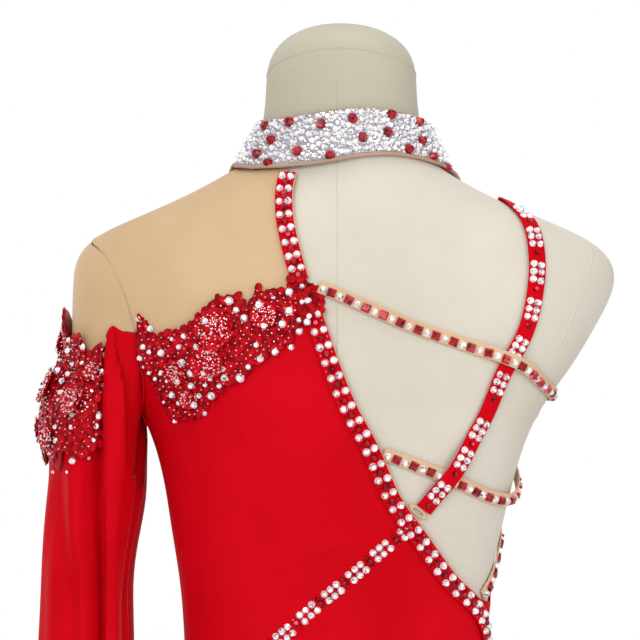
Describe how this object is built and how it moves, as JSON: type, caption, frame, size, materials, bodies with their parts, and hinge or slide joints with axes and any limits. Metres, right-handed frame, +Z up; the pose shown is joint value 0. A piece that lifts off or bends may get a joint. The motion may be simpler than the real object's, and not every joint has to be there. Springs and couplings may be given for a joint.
{
  "type": "lyrical dance costume on a dress form",
  "caption": "Red one-sleeved dance costume with nude mesh yoke, lace, stone-set collar and back straps, worn by a limbless dress form on a pole and round base.",
  "frame": {"origin": "centre of the round base's underside, on the floor", "axes": "+Z up; the costume's front faces -Y; the wearer's left, the side with the sleeve, is +X"},
  "size_m": [0.5142, 0.3983, 1.528],
  "materials": {
    "red_stretch": "matte stretch knit",
    "nude_mesh": "fine matte stretch mesh",
    "red_lace": "corded lace with beads",
    "crystal": "foil-backed cut stones",
    "red_stone": "foil-backed cut stones",
    "cream_cover": "stretched linen cover",
    "painted_steel": "satin white paint"
  },
  "bodies": {
    "root": {"form_body": "cream_cover", "stand_base": "painted_steel", "stand_pole": "painted_steel", "yoke_back": "nude_mesh", "yoke_front": "nude_mesh", "bodice_back": "red_stretch", "bodice_front": "red_stretch", "collar": "crystal", "sleeve_cap": "nude_mesh", "sleeve": "red_stretch", "skirt_back": "red_stretch", "skirt_front": "red_stretch", "neck_strap_back": "red_stretch", "neck_strap_front": "red_stretch", "edge_trim_back": "red_stretch", "edge_trim_front": "red_stretch", "shoulder_strap": "red_stretch", "back_strap_upper": "nude_mesh", "back_strap_lower": "nude_mesh", "waist_strap": "nude_mesh", "strap_loop": "nude_mesh", "lace_back": "red_lace", "lace_front": "red_lace", "lace_sleeve": "red_lace"}
  },
  "joints": []
}
